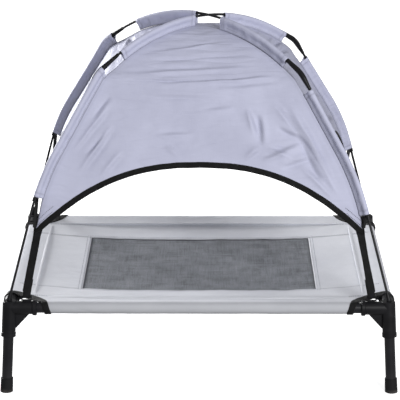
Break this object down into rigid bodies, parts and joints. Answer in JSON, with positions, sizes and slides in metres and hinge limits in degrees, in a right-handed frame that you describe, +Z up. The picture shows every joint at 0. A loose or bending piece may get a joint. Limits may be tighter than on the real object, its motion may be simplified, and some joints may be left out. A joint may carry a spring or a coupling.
{
  "type": "canopy pet bed",
  "caption": "Raised pet cot: tube frame with fabric and mesh bed, splayed legs on rubber feet, and a removable dome canopy on crossing poles.",
  "frame": {"origin": "on the floor under the middle of the cot", "axes": "+X along the long rails to the viewer's right, +Y from front to back, +Z up"},
  "size_m": [0.7618, 0.6098, 0.6846],
  "materials": {
    "connector_plastic": "satin moulded black nylon",
    "tube_paint": "gloss black powder coat on steel tube",
    "foot_rubber": "matt black rubber",
    "bed_fabric": "light grey coated oxford cloth",
    "bed_mesh": "dark grey open knit mesh",
    "bed_binding": "black webbing tape",
    "canopy_fabric": "lavender grey coated polyester",
    "canopy_binding": "black binding tape",
    "pole_glass_fibre": "black pultruded glass-fibre rod",
    "pole_fittings": "black moulded plastic",
    "elastic_webbing": "black woven elastic",
    "hook_plastic": "black moulded plastic"
  },
  "bodies": {
    "frame": {"corner_connector_front_left": "connector_plastic", "corner_connector_front_right": "connector_plastic", "corner_connector_back_left": "connector_plastic", "corner_connector_back_right": "connector_plastic", "rail_front": "tube_paint", "rail_back": "tube_paint", "rail_left": "tube_paint", "rail_right": "tube_paint", "rail_sleeve_front": "bed_fabric", "rail_sleeve_back": "bed_fabric", "rail_sleeve_left": "bed_fabric", "rail_sleeve_right": "bed_fabric", "corner_binding_front_left": "bed_binding", "corner_binding_front_right": "bed_binding", "corner_binding_back_left": "bed_binding", "corner_binding_back_right": "bed_binding", "bed_mesh_panel": "bed_mesh", "bed_band_front": "bed_fabric", "bed_band_back": "bed_fabric", "bed_panel_left": "bed_fabric", "bed_panel_right": "bed_fabric", "strap_hooks": "hook_plastic"},
    "canopy": {"canopy_panel_front": "canopy_fabric", "canopy_panel_back": "canopy_fabric", "canopy_panel_left": "canopy_fabric", "canopy_panel_right": "canopy_fabric", "arch_binding_front": "canopy_binding", "arch_binding_back": "canopy_binding", "arch_binding_left": "canopy_binding", "arch_binding_right": "canopy_binding", "pole_sleeve_upper_front_left": "canopy_fabric", "pole_sleeve_upper_front_right": "canopy_fabric", "pole_sleeve_upper_back_left": "canopy_fabric", "pole_sleeve_upper_back_right": "canopy_fabric", "pole_sleeve_lower_front_left": "canopy_fabric", "pole_sleeve_lower_front_right": "canopy_fabric", "pole_sleeve_lower_back_left": "canopy_fabric", "pole_sleeve_lower_back_right": "canopy_fabric", "pole_rod_lower_front_left": "pole_glass_fibre", "pole_rod_lower_front_right": "pole_glass_fibre", "pole_rod_lower_back_left": "pole_glass_fibre", "pole_rod_lower_back_right": "pole_glass_fibre", "pole_a_crown_rod": "pole_glass_fibre", "pole_b_crown_rod": "pole_glass_fibre", "pole_elbows": "pole_fittings", "pole_tips": "pole_fittings", "canopy_clips": "hook_plastic", "elastic_strap_front_left": "elastic_webbing", "elastic_strap_front_right": "elastic_webbing", "elastic_strap_back_left": "elastic_webbing", "elastic_strap_back_right": "elastic_webbing"},
    "leg_front_left": {"leg_tube_front_left": "tube_paint", "foot_cap_front_left": "foot_rubber"},
    "leg_front_right": {"leg_tube_front_right": "tube_paint", "foot_cap_front_right": "foot_rubber"},
    "leg_back_left": {"leg_tube_back_left": "tube_paint", "foot_cap_back_left": "foot_rubber"},
    "leg_back_right": {"leg_tube_back_right": "tube_paint", "foot_cap_back_right": "foot_rubber"}
  },
  "joints": [
    {"name": "canopy_lift", "type": "slide", "parent": "frame", "child": "canopy", "axis": [0, 0, 1], "range_m": [0, 0.03], "stiffness_N_per_m": 400, "springref_m": -0.02, "deforming": ["elastic_strap_front_left", "elastic_strap_front_right", "elastic_strap_back_left", "elastic_strap_back_right"]},
    {"name": "leg_front_left_pull", "type": "slide", "parent": "frame", "child": "leg_front_left", "axis": [-0.0523, -0.0523, -0.9973], "range_m": [0, 0.05]},
    {"name": "leg_front_right_pull", "type": "slide", "parent": "frame", "child": "leg_front_right", "axis": [0.0523, -0.0523, -0.9973], "range_m": [0, 0.05]},
    {"name": "leg_back_left_pull", "type": "slide", "parent": "frame", "child": "leg_back_left", "axis": [-0.0523, 0.0523, -0.9973], "range_m": [0, 0.05]},
    {"name": "leg_back_right_pull", "type": "slide", "parent": "frame", "child": "leg_back_right", "axis": [0.0523, 0.0523, -0.9973], "range_m": [0, 0.05]}
  ]
}
